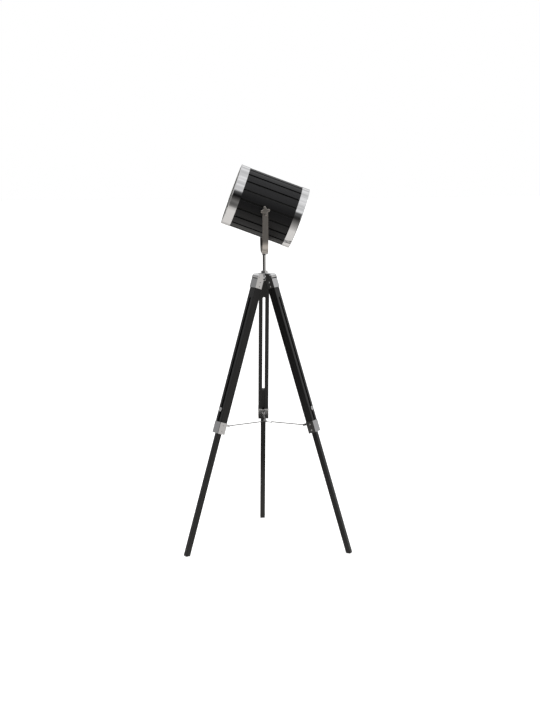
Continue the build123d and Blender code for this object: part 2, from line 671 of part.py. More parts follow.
def make_pivot_nuts():
    """Nuts on the pivot bolts inside the shell."""
    with BuildPart() as nuts:
        for side in (-1, 1):
            with BuildSketch(pivot_plane(side, PIVOT_NUT_FACE)):
                RegularPolygon(PIVOT_NUT_ACROSS / 2, 6, major_radius=False)
                Circle(PIVOT_R + RUNNING, mode=Mode.SUBTRACT)
            extrude(amount=PIVOT_NUT_HEIGHT)
    return nuts


def make_pivot_washers():
    """Washers between the yoke arms and the star knobs."""
    with BuildPart() as washers:
        for side in (-1, 1):
            seat = pivot_plane(side, ARM_OUTER + RUNNING)
            disc(seat, WASHER_R, WASHER_THICKNESS, bore=PIVOT_R + RUNNING)
    return washers


def make_star_knob(side):
    """Four-lobed knob screwed on a pivot bolt."""
    with BuildPart() as knob:
        with BuildSketch(pivot_plane(side, KNOB_FACE)):
            Circle(KNOB_HUB_R)
            with PolarLocations(KNOB_REACH - KNOB_LOBE_R, KNOB_LOBES, start_angle=KNOB_TURN):
                Circle(KNOB_LOBE_R)
            with Locations(Rotation(0, 0, KNOB_TURN)):
                Rectangle(2 * (KNOB_REACH - KNOB_LOBE_R), 2 * KNOB_LOBE_R)
                Rectangle(2 * KNOB_LOBE_R, 2 * (KNOB_REACH - KNOB_LOBE_R))
        extrude(amount=KNOB_THICKNESS)
        outer_face = knob.faces().filter_by(Axis.Y).sort_by(Axis.Y)[-1 if side > 0 else 0]
        fillet(outer_face.edges(), KNOB_ROUND)
        drill(pivot_plane(side, KNOB_FACE), PIVOT_R + RUNNING, KNOB_THICKNESS - KNOB_CAP)
    return knob


# ---------------------------------------------------------------- drum head
def make_drum_shell():
    """Thin steel tube that carries the slats and takes the pivot bolts."""
    with BuildPart() as shell:
        disc(across_drum(SLAT_BACK), SHELL_OUTER_R, MOUTH - RING_SHEET - SLAT_BACK, bore=SHELL_INNER_R)
        for side in (-1, 1):
            drill(pivot_plane(side, 0), PIVOT_R + RUNNING, SLAT_OUTER_R + THROUGH)
    return shell


def make_slats():
    """Curved slats laid along the shell, with a narrow groove between each two."""
    with BuildPart() as slats:
        with BuildSketch(across_drum(SLAT_BACK)):
            Circle(SLAT_OUTER_R)
            Circle(SLAT_INNER_R, mode=Mode.SUBTRACT)
            middle = (SLAT_OUTER_R + SLAT_INNER_R) / 2
            with PolarLocations(middle, SLAT_COUNT, start_angle=SLAT_PHASE - 90):
                Rectangle(2 * SLAT_THICKNESS, SLAT_GROOVE, mode=Mode.SUBTRACT)
        extrude(amount=MOUTH - RING_SHEET - SLAT_BACK)
        axis = Axis(across_drum(0).origin, across_drum(0).z_dir)
        long_edges = slats.edges().filter_by(axis)
        outer = [edge for edge in long_edges if to_drum_axis(edge.center()) > middle]
        fillet(outer, SLAT_ROUND)
        for side in (-1, 1):
            drill(pivot_plane(side, 0), PIVOT_R + RUNNING, SLAT_OUTER_R + THROUGH)
    return slats


def to_drum_axis(point):
    """Distance of a point from the drum's axis."""
    local = across_drum(0).to_local_coords(point)
    return (local.X**2 + local.Y**2) ** 0.5


def ring_profile(direction, end, length):
    """Revolve a ring's section about the drum's axis: a band, a lip at its end and a rolled bead."""
    base = across_drum(0)
    section = Plane(origin=base.origin, x_dir=base.x_dir, z_dir=base.x_dir.cross(base.z_dir))
    with BuildSketch(section) as outline:
        with Locations((RING_INNER_R + RING_SHEET / 2, end - direction * length / 2)):
            Rectangle(RING_SHEET, length)
        with Locations((RING_OUTER_R - (RING_LIP + RING_SHEET) / 2, end - direction * RING_SHEET / 2)):
            Rectangle(RING_LIP + RING_SHEET, RING_SHEET)
        with Locations((RING_OUTER_R - RING_BEAD_R / 2, end - direction * RING_BEAD_R)):
            Circle(RING_BEAD_R)
        with Locations((RING_INNER_R - RING_BEAD_R / 2, end - direction * (RING_SHEET + RING_BEAD_R))):
            Rectangle(RING_BEAD_R, 2 * RING_BEAD_R, mode=Mode.SUBTRACT)
    revolve(outline.sketch, axis=Axis(base.origin, base.z_dir))


def make_front_ring():
    """Chrome ring round the mouth."""
    with BuildPart() as ring:
        ring_profile(1, MOUTH, FRONT_RING_LENGTH)
    return ring


def make_rear_ring():
    """Chrome ring round the back."""
    with BuildPart() as ring:
        ring_profile(-1, BACK, REAR_RING_LENGTH)
    return ring


def make_back_plate():
    """Round plate that closes the back, with vents, and holes for the lampholder and the cord."""
    with BuildPart() as plate:
        with BuildSketch(across_drum(BACK + RING_SHEET)):
            Circle(SLAT_OUTER_R)
            Circle(NIPPLE_R + RUNNING, mode=Mode.SUBTRACT)
            with Locations((-GROMMET_OFFSET, 0)):
                Circle(GROMMET_R - GROMMET_FLANGE, mode=Mode.SUBTRACT)
            with PolarLocations(VENT_CIRCLE_R, VENT_COUNT):
                SlotOverall(VENT_LENGTH, VENT_WIDTH, mode=Mode.SUBTRACT)
        extrude(amount=BACK_PLATE)
    return plate


def make_cord_grommet():
    """Grommet in the back plate where the mains cord goes in."""
    inside = across_drum(BACK + RING_SHEET + BACK_PLATE)
    outside = across_drum(BACK + RING_SHEET)
    with BuildPart() as grommet:
        for plane, radius, amount in (
            (inside, GROMMET_R, GROMMET_INNER_LIP),
            (outside, GROMMET_R - GROMMET_FLANGE - RUNNING, BACK_PLATE),
            (outside, GROMMET_R, -GROMMET_OUTER_LIP),
        ):
            with BuildSketch(plane):
                with Locations((-GROMMET_OFFSET, 0)):
                    Circle(radius)
                    Circle(GROMMET_BORE_R, mode=Mode.SUBTRACT)
            extrude(amount=amount)
    return grommet


def make_lampholder():
    """Cup-shaped lampholder on a threaded nipple through the back plate."""
    seat = BACK + RING_SHEET + BACK_PLATE
    with BuildPart() as holder:
        disc(across_drum(seat), HOLDER_R, HOLDER_LENGTH)
        along = Axis(across_drum(0).origin, across_drum(0).z_dir)
        rims = holder.edges().filter_by(GeomType.CIRCLE).sort_by(along)
        fillet(rims[-1], HOLDER_ROUND)
        drill(across_drum(seat + HOLDER_FLOOR), BULB_CAP_R + 2 * SIDE_PLAY, HOLDER_LENGTH)
        ring = across_drum(seat + HOLDER_RING_START)
        disc(ring, HOLDER_R + HOLDER_RING_PROUD, HOLDER_RING_WIDTH, bore=HOLDER_R - HOLDER_ROUND)
        disc(across_drum(seat), NIPPLE_R, -(BACK_PLATE + NIPPLE_NUT_HEIGHT + NIPPLE_TAIL))
    return holder


def make_nipple_nut():
    """Lock nut on the lampholder's nipple, behind the back plate."""
    with BuildPart() as nut:
        with BuildSketch(across_drum(BACK + RING_SHEET)):
            RegularPolygon(NIPPLE_NUT_ACROSS / 2, 6, major_radius=False)
            Circle(NIPPLE_R + RUNNING, mode=Mode.SUBTRACT)
        extrude(amount=-NIPPLE_NUT_HEIGHT)
    return nut


def bulb_seat():
    """Where the bulb's metal cap ends and its glass begins, along the drum's axis."""
    holder_floor = BACK + RING_SHEET + BACK_PLATE + HOLDER_FLOOR
    return holder_floor + SIDE_PLAY + CONTACT_LENGTH + BULB_CAP_LENGTH


def make_bulb_cap():
    """Metal screw cap of the bulb, with its end contact."""
    with BuildPart() as cap:
        disc(across_drum(bulb_seat()), BULB_CAP_R, -BULB_CAP_LENGTH)
        drill(across_drum(bulb_seat()), BULB_CAP_R - BULB_CAP_SHEET, -(BULB_CAP_LENGTH - BULB_CAP_BASE))
        disc(across_drum(bulb_seat() - BULB_CAP_LENGTH), BULB_CAP_R / 2, -CONTACT_LENGTH)
    return cap


def make_bulb_glass():
    """Thin pear-shaped glass: a ball on a short neck, open inside the cap."""
    base = across_drum(bulb_seat())
    section = Plane(origin=base.origin, x_dir=base.x_dir, z_dir=base.x_dir.cross(base.z_dir))
    ball = BULB_LENGTH - BULB_R
    neck_r = BULB_CAP_R - BULB_CAP_SHEET - RUNNING
    with BuildPart() as glass:
        with BuildSketch(section):
            with Locations((0, ball)):
                Circle(BULB_R)
            with Locations((neck_r / 2, (ball - BULB_NECK_DEPTH) / 2)):
                Rectangle(neck_r, ball + BULB_NECK_DEPTH)
            with Locations((0, ball)):
                Circle(BULB_R - BULB_GLASS, mode=Mode.SUBTRACT)
            with Locations(((neck_r - BULB_GLASS) / 2, ball / 2 - BULB_NECK_DEPTH)):
                Rectangle(neck_r - BULB_GLASS, ball + 2 * BULB_NECK_DEPTH, mode=Mode.SUBTRACT)
            with Locations((-BULB_R, ball / 2)):
                Rectangle(2 * BULB_R, 4 * BULB_LENGTH, mode=Mode.SUBTRACT)
        revolve(axis=Axis(base.origin, base.z_dir))
    return glass


# ---------------------------------------------------------------- write every piece
os.makedirs("parts", exist_ok=True)

save(make_hub(), "hub")
save(make_collar(), "collar")
save(make_stem(), "stem_rod")
save(make_stem_nut(), "stem_nut")
save(make_yoke_nut(), "yoke_nut")
save(make_pan_bolt(), "pan_bolt")

for level, (side, azimuth) in zip((1, 0, -1), LEG_AZIMUTHS.items()):
    save(make_leg_cap(azimuth), f"leg_cap_{side}")
    save(make_screws(cap_screws_at(azimuth)), f"cap_screws_{side}")
    save(make_hinge_bolt(azimuth), f"hinge_bolt_{side}")
    save(make_upper_leg(azimuth), f"upper_leg_{side}")
    save(make_ferrule(azimuth), f"ferrule_{side}")
    save(make_screws(ferrule_screws_at(azimuth)), f"ferrule_screws_{side}")
    save(make_spreader_bracket(azimuth), f"spreader_bracket_{side}")
    save(make_spreader_pin(azimuth), f"spreader_pin_{side}")
    save(make_lower_leg(azimuth), f"lower_leg_{side}")
    save(make_foot_pad(azimuth), f"foot_pad_{side}")
    save(make_thumb_screw(azimuth), f"thumb_screw_{side}")
    save(make_spreader_arm(azimuth, level), f"spreader_arm_{side}")
save(make_spreader_button(), "spreader_button")

save(make_yoke(), "yoke")
save(make_pivot_bolts(), "pivot_bolts")
save(make_pivot_nuts(), "pivot_nuts")
save(make_pivot_washers(), "pivot_washers")
save(make_star_knob(-1), "star_knob_front")
save(make_star_knob(1), "star_knob_back")
save(make_drum_shell(), "drum_shell")
save(make_slats(), "slats")
save(make_front_ring(), "front_ring")
save(make_rear_ring(), "rear_ring")
save(make_back_plate(), "back_plate")
save(make_cord_grommet(), "cord_grommet")
save(make_lampholder(), "lampholder")
save(make_nipple_nut(), "nipple_nut")
save(make_bulb_cap(), "bulb_cap")
save(make_bulb_glass(), "bulb_glass")
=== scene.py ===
"""Looks of a tripod floor lamp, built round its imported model.

The lamp is a ribbed drum head in a yoke on three telescoping legs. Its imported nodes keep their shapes
and get finishes here, and small hardware that needs more detail is built as separate pieces. All
sizes are in metres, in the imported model's frame: +Z up, the drum's mouth towards -X.
"""

import json
import logging
import math
from dataclasses import dataclass
from enum import StrEnum
from typing import NamedTuple

import bpy
from mathutils import Matrix, Vector

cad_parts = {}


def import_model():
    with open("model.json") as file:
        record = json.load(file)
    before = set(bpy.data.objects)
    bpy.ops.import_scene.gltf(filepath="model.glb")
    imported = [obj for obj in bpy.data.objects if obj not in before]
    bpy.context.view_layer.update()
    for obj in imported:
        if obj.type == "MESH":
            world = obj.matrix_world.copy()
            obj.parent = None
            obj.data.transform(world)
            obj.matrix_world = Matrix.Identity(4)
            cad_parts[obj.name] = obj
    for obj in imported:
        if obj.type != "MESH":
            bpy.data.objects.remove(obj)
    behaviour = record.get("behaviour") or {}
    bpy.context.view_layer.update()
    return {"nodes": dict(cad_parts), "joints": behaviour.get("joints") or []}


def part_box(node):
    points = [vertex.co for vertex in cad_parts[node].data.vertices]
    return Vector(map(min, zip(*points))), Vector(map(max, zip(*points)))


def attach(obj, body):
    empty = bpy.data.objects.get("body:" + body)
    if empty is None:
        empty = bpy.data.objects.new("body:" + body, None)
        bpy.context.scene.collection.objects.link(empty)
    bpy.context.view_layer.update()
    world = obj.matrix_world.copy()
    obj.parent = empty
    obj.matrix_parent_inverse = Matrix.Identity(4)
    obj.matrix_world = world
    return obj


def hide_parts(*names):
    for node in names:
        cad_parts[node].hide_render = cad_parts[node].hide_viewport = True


LOG = logging.getLogger("floor_lamp")
MM = 0.001
WHITE = (1, 1, 1, 1)
NOISE_RANGE = (0.3, 0.7)  # noise seldom leaves this range
GRAIN_RANGE = (0.35, 0.7)  # the same, with more left at its lower end


class Side(StrEnum):
    """The three legs, named for where they stand."""

    REAR = "rear"
    LEFT = "left"
    RIGHT = "right"


# ------------------------------------------------------------------ places read from the frame
@dataclass(frozen=True)
class LegFrame:
    """Directions and places of one leg at rest.

    Attributes:
        side: Which leg it is.
        up: Unit vector along the leg, upwards.
        across: Unit vector along the hinge bolt.
        face: Unit vector out of the leg's outer face.
    """

    side: Side
    up: Vector
    across: Vector
    face: Vector

    @classmethod
    def read(cls, side: Side, joints: dict[str, dict]) -> "LegFrame":
        """Read a leg's directions from its slide, fold and thumb screw joints.

        Args:
            side: Which leg to read.
            joints: The record's joints by name.

        Returns:
            The leg's frame.
        """
        up = Vector(joints[f"leg_slide_{side}"]["axis"]).normalized()
        across = Vector(joints[f"leg_fold_{side}"]["axis"]).normalized()
        face = Vector(joints[f"thumb_turn_{side}"]["axis"]).normalized()
        return cls(side, up, across, face)

    def turn(self) -> Matrix:
        """Rotation that lays the leg's length along Z and its hinge bolt along Y."""
        rows = (self.across.cross(self.up), self.across, self.up)
        return Matrix(rows)


@dataclass(frozen=True)
class DrumFrame:
    """Axis of the drum: its middle, the way its mouth looks, and its up and side directions."""

    middle: Vector
    mouth: Vector
    up: Vector
    side: Vector

    @classmethod
    def read(cls, nodes: dict[str, bpy.types.Object]) -> "DrumFrame":
        """Find the drum's axis from the middles of its two rings.

        Args:
            nodes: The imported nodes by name.

        Returns:
            The drum's frame.
        """
        front = mean_point(nodes["front_ring"])
        rear = mean_point(nodes["rear_ring"])
        mouth = (front - rear).normalized()
        side = Vector((0, 1, 0))
        return cls((front + rear) / 2, mouth, side.cross(mouth).normalized(), side)

    def turn(self) -> Matrix:
        """Rotation that lays the drum's axis along Z."""
        return Matrix((self.up, self.side, self.mouth))

    def radius(self, point: Vector) -> float:
        """Distance of a point from the drum's axis."""
        return (point - self.middle).cross(self.mouth).length


def mean_point(node: bpy.types.Object) -> Vector:
    """Middle of a node's surface.

    Args:
        node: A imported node.

    Returns:
        The mean of the node's faces, weighted by their areas.
    """
    total, area = Vector(), 0.0
    for face in node.data.polygons:
        total += face.center * face.area
        area += face.area
    return total / area


# ------------------------------------------------------------------ finishes
def add_node(tree: bpy.types.NodeTree, kind: str, values: dict[str | int, object] | None,
             options: dict[str, object]) -> bpy.types.Node:
    """Add a node to a tree.

    Args:
        tree: The node tree.
        kind: The node's full type name.
        values: Values or linked sockets by input name or index.
        options: The node's own properties.

    Returns:
        The new node.
    """
    node = tree.nodes.new(kind)
    for key, value in options.items():
        setattr(node, key, value)
    for key, value in (values or {}).items():
        if isinstance(value, bpy.types.NodeSocket):
            tree.links.new(value, node.inputs[key])
        else:
            node.inputs[key].default_value = value
    return node


class Ramp(NamedTuple):
    """A change from one level to another.

    Attributes:
        low: Where the change starts.
        high: Where it ends.
        bottom: Level up to low.
        top: Level past high.
    """

    low: float
    high: float
    bottom: float
    top: float


class Shading:
    """A shading tree, with short calls to add and join nodes."""

    def __init__(self, tree: bpy.types.NodeTree) -> None:
        """Take a tree.

        Args:
            tree: Node tree of a material or of the surroundings.
        """
        self.tree = tree

    def add(self, kind: str, values: dict[str | int, object] | None = None,
            **options: object) -> bpy.types.Node:
        """Add a node.

        Args:
            kind: The node's type without its prefix.
            values: Values or linked sockets by input name or index.
            options: The node's own properties.

        Returns:
            The new node.
        """
        return add_node(self.tree, f"ShaderNode{kind}", values, options)

    def math(self, operation: str, first: object, second: object, **options: object) -> bpy.types.NodeSocket:
        """Work out one number from two."""
        return self.add("Math", {0: first, 1: second}, operation=operation, **options).outputs[0]

    def measure(self, operation: str, first: object,
                second: tuple[float, float, float] = (0, 0, 0)) -> bpy.types.NodeSocket:
        """Work out one number from one or two vectors."""
        return self.add("VectorMath", {0: first, 1: second}, operation=operation).outputs["Value"]

    def noise(self, where: bpy.types.NodeSocket, scale: float, detail: float = 4.0,
              rough: float = 0.6) -> bpy.types.NodeSocket:
        """Noise at the given coordinates.

        Args:
            where: Coordinates.
            scale: Noise cells per metre.
            detail: Octaves.
            rough: Strength of the finer octaves.

        Returns:
            The factor socket.
        """
        values = {"Vector": where, "Scale": scale, "Detail": detail, "Roughness": rough}
        return self.add("TexNoise", values).outputs["Fac"]

    def ramp(self, factor: bpy.types.NodeSocket, low: float, high: float, bottom: float,
             top: float) -> bpy.types.NodeSocket:
        """Map a factor from one range to another, without leaving it.

        Args:
            factor: The input factor.
            low: Input that gives bottom.
            high: Input that gives top.
            bottom: Output at low.
            top: Output at high.

        Returns:
            The mapped value.
        """
        values = {"Value": factor, "From Min": low, "From Max": high, "To Min": bottom, "To Max": top}
        return self.add("MapRange", values).outputs["Result"]

    def mix(self, factor: bpy.types.NodeSocket, first: tuple, second: tuple) -> bpy.types.NodeSocket:
        """Blend two colours by a factor.

        Args:
            factor: 0 gives the first colour and 1 the second.
            first: Colour at 0.
            second: Colour at 1.

        Returns:
            The colour socket.
        """
        node = self.add("Mix", data_type="RGBA")
        self.tree.links.new(factor, node.inputs[0])
        node.inputs[6].default_value = (*first, 1)
        node.inputs[7].default_value = (*second, 1)
        return node.outputs[2]

    def split_view(self, mirrored: bpy.types.NodeSocket, seen: bpy.types.NodeSocket, output: str) -> None:
        """Show the camera one shader, and give light and reflections another.

        Args:
            mirrored: Shader that lights the lamp and shows in its metal.
            seen: Shader that the camera sees.
            output: Name of the tree's output node.
        """
        path = self.add("LightPath")
        blend = self.add("MixShader", {0: path.outputs["Is Camera Ray"], 1: mirrored, 2: seen})
        self.tree.links.new(blend.outputs[0], self.tree.nodes[output].inputs["Surface"])


class Shader(Shading):
    """A material with one principled shader, and short calls to dress it."""

    def __init__(self, name: str) -> None:
        """Start a material.

        Args:
            name: The material's name.
        """
        self.material = bpy.data.materials.new(name)
        self.material.use_nodes = True
        super().__init__(self.material.node_tree)
        self.surface = self.tree.nodes["Principled BSDF"]

    def set(self, **values: object) -> "Shader":
        """Set plain values on the principled shader.

        Args:
            values: Values by input name, with underscores for spaces.

        Returns:
            The same shader.
        """
        for key, value in values.items():
            self.surface.inputs[key.replace("_", " ")].default_value = value
        return self

    def link(self, source: bpy.types.NodeSocket, target: str) -> None:
        """Join a socket to one of the principled shader's inputs."""
        self.tree.links.new(source, self.surface.inputs[target])

    def place(self, turn: Matrix | None = None, scale: tuple[float, float, float] = (1, 1, 1),
              origin: Vector | None = None) -> bpy.types.NodeSocket:
        """Object coordinates, moved to an origin, turned and scaled.

        Args:
            turn: Rotation applied to the coordinates.
            scale: Scale applied last.
            origin: Point that becomes zero.

        Returns:
            The socket with the finished coordinates.
        """
        source = self.add("TexCoord").outputs["Object"]
        centre = origin or Vector()
        angles = (turn or Matrix.Identity(3)).to_euler()
        moved = self.add("Mapping", {"Vector": source, "Location": tuple(-centre)})
        turned = self.add("Mapping", {"Vector": moved.outputs[0], "Rotation": tuple(angles)})
        return self.add("Mapping", {"Vector": turned.outputs[0], "Scale": scale}).outputs[0]

    def colour(self, factor: bpy.types.NodeSocket, dark: tuple, light: tuple,
               reach: tuple[float, float] = NOISE_RANGE) -> None:
        """Vary the colour.

        Args:
            factor: What the colour follows.
            dark: Colour where the factor is low.
            light: Colour where it is high.
            reach: The factor's low and high.
        """
        self.link(self.mix(self.ramp(factor, *reach, 0, 1), dark, light), "Base Color")

    def roughness(self, factor: bpy.types.NodeSocket, smooth: float, rough: float,
                  reach: tuple[float, float] = NOISE_RANGE) -> None:
        """Vary the roughness.

        Args:
            factor: What the roughness follows.
            smooth: Roughness where the factor is low.
            rough: Roughness where it is high.
            reach: The factor's low and high.
        """
        self.link(self.ramp(factor, *reach, smooth, rough), "Roughness")

    def bump(self, height: bpy.types.NodeSocket, strength: float, distance: float) -> None:
        """Bump the surface.

        Args:
            height: Height factor.
            strength: How much of the bump shows.
            distance: Height of a full step, in metres.
        """
        values = {"Height": height, "Strength": strength, "Distance": distance}
        self.link(self.add("Bump", values).outputs["Normal"], "Normal")


@dataclass(frozen=True)
class StainedWood:
    """Black stained wood under satin lacquer, with its grain along the leg."""

    name: str
    turn: Matrix
    dark: tuple[float, float, float] = (0.0035, 0.0035, 0.004)
    light: tuple[float, float, float] = (0.013, 0.0125, 0.0125)
    grain_stretch: float = 0.035
    grain_scale: float = 420.0
    cloud_stretch: float = 0.2
    cloud_scale: float = 30.0

    def build(self) -> bpy.types.Material:
        """Make the material.

        Returns:
            The material.
        """
        shader = Shader(self.name).set(Coat_Weight=0.12, Coat_Roughness=0.3, Specular_IOR_Level=0.4)
        along = shader.place(self.turn, (1, 1, self.grain_stretch))
        grain = shader.noise(along, self.grain_scale, detail=6.0, rough=0.7)
        patches = shader.place(self.turn, (1, 1, self.cloud_stretch))
        cloud = shader.noise(patches, self.cloud_scale, detail=3.0)
        shader.colour(grain, self.dark, self.light, GRAIN_RANGE)
        shader.roughness(cloud, smooth=0.34, rough=0.46)
        shader.bump(grain, strength=0.35, distance=0.0004)
        return shader.material


@dataclass(frozen=True)
class SlatLacquer:
    """Black lacquer over thin wood, with faint grain along the drum."""

    name: str
    turn: Matrix
    dark: tuple[float, float, float] = (0.004, 0.004, 0.005)
    light: tuple[float, float, float] = (0.009, 0.009, 0.011)
    grain_stretch: float = 0.04
    grain_scale: float = 500.0

    def build(self) -> bpy.types.Material:
        """Make the material.

        Returns:
            The material.
        """
        shader = Shader(self.name).set(Coat_Weight=0.08, Coat_Roughness=0.3, Specular_IOR_Level=0.35)
        along = shader.place(self.turn, (1, 1, self.grain_stretch))
        grain = shader.noise(along, self.grain_scale, detail=5.0, rough=0.65)
        shader.colour(grain, self.dark, self.light, GRAIN_RANGE)
        shader.roughness(grain, smooth=0.42, rough=0.5)
        shader.bump(grain, strength=0.2, distance=0.0003)
        return shader.material


@dataclass(frozen=True)
class Plating:
    """Polished plated metal with faint polishing marks and smears."""

    name: str
    colour: tuple[float, float, float] = (0.80, 0.80, 0.81)
    smooth: float = 0.05
    rough: float = 0.11
    smear_scale: float = 45.0
    mark_scale: float = 900.0

    def build(self) -> bpy.types.Material:
        """Make the material.

        Returns:
            The material.
        """
        shader = Shader(self.name).set(Metallic=1.0, Base_Color=(*self.colour, 1))
        shader.roughness(shader.noise(shader.place(), self.smear_scale), self.smooth, self.rough, GRAIN_RANGE)
        marks = shader.noise(shader.place(), self.mark_scale, detail=2.0)
        shader.bump(marks, strength=0.04, distance=0.0001)
        return shader.material


@dataclass(frozen=True)
class BrushedNickel:
    """Warm grey brushed metal. Its marks run along the directions with a low scale."""

    name: str
    marks: tuple[float, float, float]
    dark: tuple[float, float, float] = (0.52, 0.485, 0.45)
    light: tuple[float, float, float] = (0.66, 0.62, 0.58)

    def build(self) -> bpy.types.Material:
        """Make the material.

        Returns:
            The material.
        """
        shader = Shader(self.name).set(Metallic=1.0)
        marks = shader.noise(shader.place(scale=self.marks), 1.0, rough=0.7)
        shader.colour(marks, self.dark, self.light)
        shader.roughness(marks, smooth=0.30, rough=0.40)
        shader.bump(marks, strength=0.15, distance=0.0002)
        return shader.material


@dataclass(frozen=True)
class SprayedPaint:
    """Paint with a fine orange-peel surface."""

    name: str
    colour: tuple[float, float, float]
    smooth: float = 0.4
    rough: float = 0.5
    peel_scale: float = 700.0
    lighten: float = 1.12

    def build(self) -> bpy.types.Material:
        """Make the material.

        Returns:
            The material.
        """
        shader = Shader(self.name)
        peel = shader.noise(shader.place(), self.peel_scale, detail=3.0)
        lighter = tuple(min(1.0, channel * self.lighten) for channel in self.colour)
        shader.colour(peel, self.colour, lighter)
        shader.roughness(peel, self.smooth, self.rough)
        shader.bump(peel, strength=0.15, distance=0.0002)
        return shader.material


@dataclass(frozen=True)
class ShellPaint:
    """Drum shell: black outside, where the grooves show it, and pale satin inside."""

    name: str
    turn: Matrix
    middle: Vector
    wall: float
    outside: tuple[float, float, float] = (0.004, 0.004, 0.004)
    inside: tuple[float, float, float] = (0.66, 0.66, 0.64)
    change: float = 0.1 * MM
    peel_scale: float = 700.0

    def build(self) -> bpy.types.Material:
        """Make the material.

        Returns:
            The material.
        """
        shader = Shader(self.name)
        split = shader.add("SeparateXYZ", {"Vector": shader.place(self.turn, origin=self.middle)})
        flat = shader.add("CombineXYZ", {"X": split.outputs["X"], "Y": split.outputs["Y"]})
        radius = shader.measure("LENGTH", flat.outputs[0])
        edge = shader.ramp(radius, self.wall - self.change, self.wall + self.change, 0, 1)
        shader.link(shader.mix(edge, self.inside, self.outside), "Base Color")
        peel = shader.noise(shader.place(), self.peel_scale, detail=3.0)
        shader.roughness(peel, smooth=0.4, rough=0.5)
        shader.bump(peel, strength=0.12, distance=0.0002)
        return shader.material


@dataclass(frozen=True)
class Moulded:
    """Moulded rubber or plastic with a fine matte grain."""

    name: str
    colour: tuple[float, float, float]
    rough: float
    grain_scale: float = 1500.0
    lighten: float = 1.25
    rough_spread: float = 0.1

    def build(self) -> bpy.types.Material:
        """Make the material.

        Returns:
            The material.
        """
        shader = Shader(self.name)
        grain = shader.noise(shader.place(), self.grain_scale, detail=3.0)
        lighter = tuple(min(1.0, channel * self.lighten) for channel in self.colour)
        shader.colour(grain, self.colour, lighter)
        shader.roughness(grain, self.rough, self.rough + self.rough_spread)
        shader.bump(grain, strength=0.3, distance=0.0002)
        return shader.material


@dataclass(frozen=True)
class FrostedGlass:
    """Bulb glass, frosted on the inside."""

    name: str
    warm: tuple[float, float, float] = (0.93, 0.92, 0.89)
    pale: tuple[float, float, float] = (0.98, 0.97, 0.95)
    haze_scale: float = 60.0

    def build(self) -> bpy.types.Material:
        """Make the material.

        Returns:
            The material.
        """
        shader = Shader(self.name).set(Transmission_Weight=0.3, IOR=1.45)
        haze = shader.noise(shader.place(), self.haze_scale, detail=3.0)
        shader.link(shader.mix(haze, self.warm, self.pale), "Base Color")
        shader.roughness(haze, smooth=0.30, rough=0.38)
        return shader.material


def dress(node: bpy.types.Object, material: bpy.types.Material) -> None:
    """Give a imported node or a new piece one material.

    Args:
        node: The object.
        material: Its finish.
    """
    node.data.materials.clear()
    node.data.materials.append(material)


